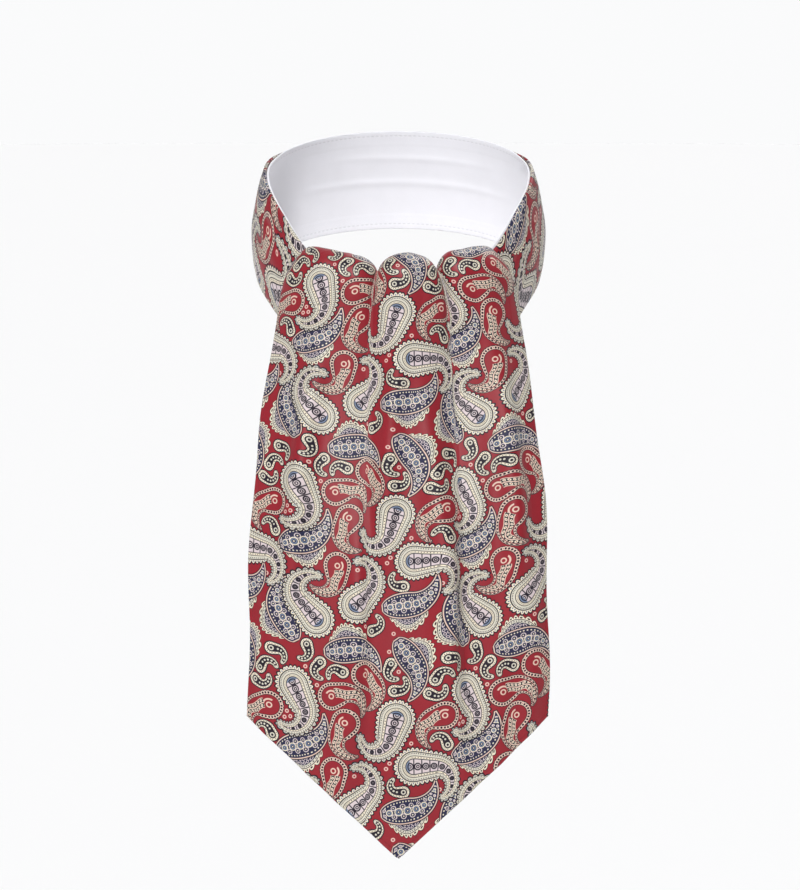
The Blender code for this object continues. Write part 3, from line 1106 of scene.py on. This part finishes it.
def pleat_lift(angle, share):
    """How far the pleats of the back stand out: each rises slowly and turns back sharply."""
    in_pleat = (share * PLEATS) % 1.0
    rise = smooth_step(in_pleat, 0.0, 1.0 - PLEAT_TURN_SHARE)
    turn = 1.0 - smooth_step(in_pleat, 1.0 - PLEAT_TURN_SHARE, 1.0)
    return PLEAT_LIFT * rise * turn * back_share(angle)


def inner_silk_layer(angle):
    """Most of the silk lies straight on the lining."""
    return np.full_like(angle, INNER_SILK)


def silk_drop_at_back(angle):
    """Between the seams the silk's top lies lower, and the lining shows over it."""
    return SILK_DROP * back_share(angle)


def lining_drop_at_sides(angle):
    """Outside the back the lining's top lies lower than the silk's."""
    return LINING_DROP * (1.0 - back_share(angle))


def crossing_layer(angle):
    """The right stretch steps outward before the throat to cross over the left one."""
    side = smooth_step(angle, OVER_LAYER_FROM_ANGLE, OVER_LAYER_TO_ANGLE)
    return OUTER_SILK + (INNER_SILK - OUTER_SILK) * side


def puff_height(across, puff_size):
    """Height of the puffs as a share of their size, 0 in the two folds between them."""
    softness = 1.0 - np.clip(puff_size / STEEP_PUFF, 0.0, 1.0)
    roundness = STEEP_ROUNDNESS + (SOFT_ROUNDNESS - STEEP_ROUNDNESS) * softness
    height = np.zeros_like(puff_size)
    for row in PUFFS:
        puff = dict(zip(PUFF_COLUMNS, row))
        reach = np.where(across < puff["top"], puff["left"], puff["right"]) - puff["top"]
        t = (across - puff["top"]) / reach
        inside = np.clip(1.0 - t * t, 0.0, 1.0)
        rise = (inside + PUFF_EASE) ** roundness - PUFF_EASE**roundness
        height = np.maximum(height, puff["share"] * rise)
    return height


def gathered_steps(ends, count):
    """Steps from the first end to the last, closer together near each of the ends between."""
    turn = np.linspace(0.0, np.pi, count // (len(ends) - 1) + 1)
    share = (1.0 - np.cos(turn)) / 2.0
    share = GATHERING * share + (1.0 - GATHERING) * turn / np.pi
    parts = [low + (high - low) * share[:-1] for low, high in zip(ends, ends[1:])]
    return np.append(np.concatenate(parts), ends[-1])


def blade_surface(values, at_sections, length, across):
    """Points in the middle of a blade's cloth, at lengths down it and shares of its half-width."""
    at = {key: curve_through(at_sections, column)(length) for key, column in values.items()}
    half_turn = 2.0 * np.arctan(at["wrap"] / at["half_width"])
    turn = half_turn * across
    radius = at["half_width"] / np.sin(half_turn)
    wave = EDGE_WAVE * np.sin(2.0 * np.pi * length / EDGE_WAVE_LENGTH + across)
    wave = wave * smooth_step(length, EDGE_WAVE_START, EDGE_WAVE_START + EDGE_WAVE_LENGTH)
    x = radius * np.sin(turn) + wave * across**3
    y = -at["forward"] + radius * (1.0 - np.cos(turn))
    z = at["up"] + at["edge_rise"] * across**4
    points = np.stack((x, y, z), axis=-1)
    points += grid_normals(points) * (at["puff"] * puff_height(across, at["puff"]))[:, :, None]
    return points, radius * turn, at["puff"]


def blade_piece(name, sections, columns, rows, tip_height, from_section, creases, material):
    """A blade from its sections: its mesh ends in a point, its edges are tip_height shorter."""
    values = table(BLADE_COLUMNS, sections)
    steps = np.hypot(np.diff(values["forward"]), np.diff(values["up"]))
    at_sections = np.concatenate(([0.0], np.cumsum(steps)))
    inset = SILK_THICKNESS / 2.0
    at_rows = np.linspace(inset, at_sections[-1] - inset, rows + 1)
    edge = 1.0 - inset / values["half_width"].max()
    across = gathered_steps((-edge, *dict(TUCKS), edge), columns)
    straight = at_sections[from_section]
    below = np.clip(at_rows - straight, 0.0, None) / (at_sections[-1] - straight)
    level = np.tile(at_rows[:, None], (1, columns + 1))
    length = level - np.outer(below, np.abs(across)) * tip_height
    level_points = blade_surface(values, at_sections, level, across)[0]
    straight_row = int(np.searchsorted(at_rows, straight))
    crest_row = int(level_points[:, columns // 2, 2].argmax())
    level_places = cloth_places(level_points, straight_row, crest_row)
    middle, from_middle, puff = blade_surface(values, at_sections, length, across)
    places = np.empty(length.shape + (2,))
    for column in range(columns + 1):
        for axis in range(2):
            places[:, column, axis] = np.interp(length[:, column], at_rows, level_places[:, column, axis])
    for row in TUCKS:
        tuck = dict(zip(TUCK_COLUMNS, row))
        step = smooth_step(across, tuck["across"] - TUCK_SPREAD, tuck["across"] + TUCK_SPREAD) - 0.5
        places[:, :, 0] += tuck["width"] * step * np.clip(puff / FULL_PUFF, 0.0, 1.0)
    hollow = crease_depth(from_middle, length, creases)
    middle -= grid_normals(middle) * hollow[:, :, None]
    half = grid_normals(middle) * inset
    return cloth_shell(name, middle + half, middle - half, places, material)


def make_cravat():
    """The six pieces, and what they stand for."""
    silk = printed_silk()
    lining = plain_lining()
    left = band_piece(
        "cravat_band_left", -SEAM_ANGLE, CROSSING_END_ANGLE, SILK_THICKNESS, silk,
        inner_silk_layer, np.zeros_like, LEFT_CREASES,
    )
    right = band_piece(
        "cravat_band_right", -CROSSING_END_ANGLE, SEAM_ANGLE, SILK_THICKNESS, silk,
        crossing_layer, np.zeros_like, RIGHT_CREASES,
    )
    back = band_piece(
        "cravat_band_back", SEAM_ANGLE, 360.0 - SEAM_ANGLE, SILK_THICKNESS, silk,
        inner_silk_layer, silk_drop_at_back, BACK_CREASES, pleats=True,
    )
    inside = band_piece(
        "cravat_lining", LINING_END_ANGLE, 360.0 - LINING_END_ANGLE, LINING_THICKNESS, lining,
        np.zeros_like, lining_drop_at_sides, LINING_CREASES, bends_inside=True,
    )
    over = blade_piece(
        "cravat_blade_over", BLADE_OVER, BLADE_COLUMNS_OVER, BLADE_ROWS_OVER,
        BLADE_OVER_TIP_HEIGHT, BLADE_OVER_FROM_SECTION, OVER_CREASES, silk,
    )
    under = blade_piece(
        "cravat_blade_under", BLADE_UNDER, BLADE_COLUMNS_UNDER, BLADE_ROWS_UNDER,
        BLADE_UNDER_TIP_HEIGHT, BLADE_UNDER_FROM_SECTION, UNDER_CREASES, silk,
    )
    for piece, nodes, slot in (
        (left, ("neckband_left",), "silk"),
        (right, ("neckband_right",), "silk"),
        (back, ("neckband_back",), "silk"),
        (inside, ("neckband_lining",), "lining"),
        (over, ("blade_over", "blade_over_rise"), "silk"),
        (under, ("blade_under",), "silk"),
    ):
        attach(piece, "root")
        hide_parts(*nodes)


def facing(way):
    """The turn that points a camera or a light along a way."""
    return Vector(way).to_track_quat("-Z", "Y").to_euler()


def make_camera():
    """A camera straight in front and a little above, with a long lens."""
    data = bpy.data.cameras.new("camera")
    data.sensor_width = SENSOR
    data.lens = LENS
    data.clip_end = CLIP_END * MM
    camera = add_object("camera", data)
    rise = np.radians(VIEW_ELEVATION)
    back = np.array((0.0, -np.cos(rise), np.sin(rise))) * VIEW_DISTANCE
    camera.location = Vector(np.array(VIEW_TARGET) + back) * MM
    camera.rotation_euler = facing(Vector(VIEW_TARGET) * MM - camera.location)
    bpy.context.scene.camera = camera


def make_lights():
    """A soft key from the front and above, a weaker light from behind, and a pale surround."""
    for row in LIGHTS:
        sun = dict(zip(LIGHT_COLUMNS, row))
        data = bpy.data.lights.new(sun["name"], "SUN")
        data.angle = np.radians(sun["spread"])
        data.energy = sun["strength"]
        add_object(sun["name"], data).rotation_euler = facing(sun["direction"])
    world = bpy.data.worlds.new("studio")
    world.use_nodes = True
    sky = world.node_tree.nodes["Background"]
    sky.inputs["Color"].default_value = SURROUND_COLOUR
    sky.inputs["Strength"].default_value = SURROUND_STRENGTH
    bpy.context.scene.world = world


def stage_piece(name, points, faces, material):
    """A mesh that belongs to the stage, from points in metres."""
    mesh = bpy.data.meshes.new(name)
    mesh.from_pydata(points, [], faces)
    mesh.materials.append(material)
    piece = add_object(name, mesh)
    return piece


def make_floor():
    """A plain pale floor far below, and an even backdrop round it that lights nothing."""
    corners = [(x * FLOOR_REACH, y * FLOOR_REACH, FLOOR_LEVEL) for x, y in FLOOR_CORNERS]
    stage_piece("floor", corners, [(0, 1, 2, 3)], new_material("pale_floor", FLOOR_FINISH)[0])
    turns = 2.0 * np.pi * np.arange(BACKDROP_STEPS) / BACKDROP_STEPS
    x, y = BACKDROP_RADIUS * np.cos(turns), BACKDROP_RADIUS * np.sin(turns)
    points = [point for z in (FLOOR_LEVEL, BACKDROP_TOP) for point in zip(x, y, np.full_like(x, z))]
    faces = []
    for step in range(BACKDROP_STEPS):
        after = (step + 1) % BACKDROP_STEPS
        faces.append((step, after, after + BACKDROP_STEPS, step + BACKDROP_STEPS))
    backdrop = stage_piece("backdrop", points, faces, new_material("backdrop", BACKDROP_FINISH)[0])
    backdrop.visible_diffuse = False
    backdrop.visible_glossy = False
    backdrop.visible_shadow = False


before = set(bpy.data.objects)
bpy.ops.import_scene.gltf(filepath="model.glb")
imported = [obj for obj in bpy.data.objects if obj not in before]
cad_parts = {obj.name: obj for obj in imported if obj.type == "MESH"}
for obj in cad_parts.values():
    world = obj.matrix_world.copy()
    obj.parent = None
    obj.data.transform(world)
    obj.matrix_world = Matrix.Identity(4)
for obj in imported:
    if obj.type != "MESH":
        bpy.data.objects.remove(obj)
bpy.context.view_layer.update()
bpy.context.scene.view_settings.view_transform = "Standard"
make_camera()
make_lights()
make_floor()
make_cravat()
